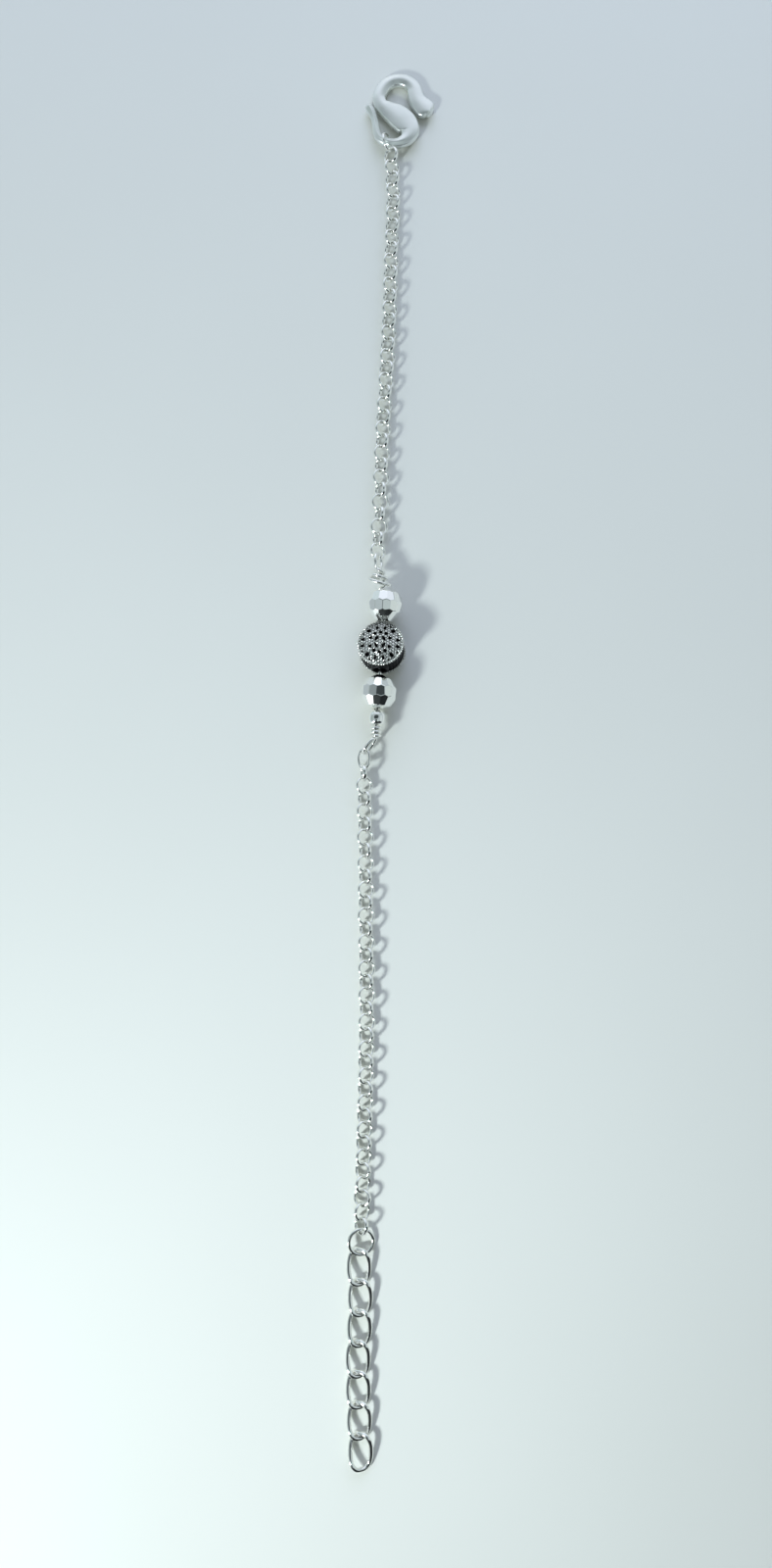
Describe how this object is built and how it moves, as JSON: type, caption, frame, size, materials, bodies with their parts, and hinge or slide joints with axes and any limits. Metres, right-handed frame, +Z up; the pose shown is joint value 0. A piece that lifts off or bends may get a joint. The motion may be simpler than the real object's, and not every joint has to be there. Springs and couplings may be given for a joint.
{
  "type": "rakhi bracelet",
  "caption": "Slim silver rakhi bracelet laid open: S-hook clasp, fine rolo chains, faceted balls and a domed filigree medallion on a wire, and a curb extension chain.",
  "frame": {"origin": "on the surface that the bracelet lies on, under the middle of its length and of its width", "axes": "+Y along the bracelet from the extension chain to the S-hook, +X to the right seen from above with the hook away from the viewer, +Z up"},
  "size_m": [0.0136, 0.2134, 0.0055],
  "materials": {
    "polished_silver": "bright polished silver",
    "satin_silver": "soft satin silver, lightly worn",
    "oxidised_silver": "silver with blackened recesses and bright high spots"
  },
  "bodies": {
    "root": {"s_hook": "satin_silver", "hook_link": "polished_silver", "upper_chain": "polished_silver", "bead_wire": "polished_silver", "upper_faceted_ball": "polished_silver", "filigree_medallion": "oxidised_silver", "lower_faceted_ball": "polished_silver", "spacer_bead": "polished_silver", "oval_link": "polished_silver", "lower_chain": "polished_silver", "jump_ring": "polished_silver", "extension_link_1": "polished_silver", "extension_link_2": "polished_silver", "extension_link_3": "polished_silver", "extension_link_4": "polished_silver", "extension_link_5": "polished_silver", "extension_link_6": "polished_silver", "extension_link_7": "polished_silver"}
  },
  "joints": []
}
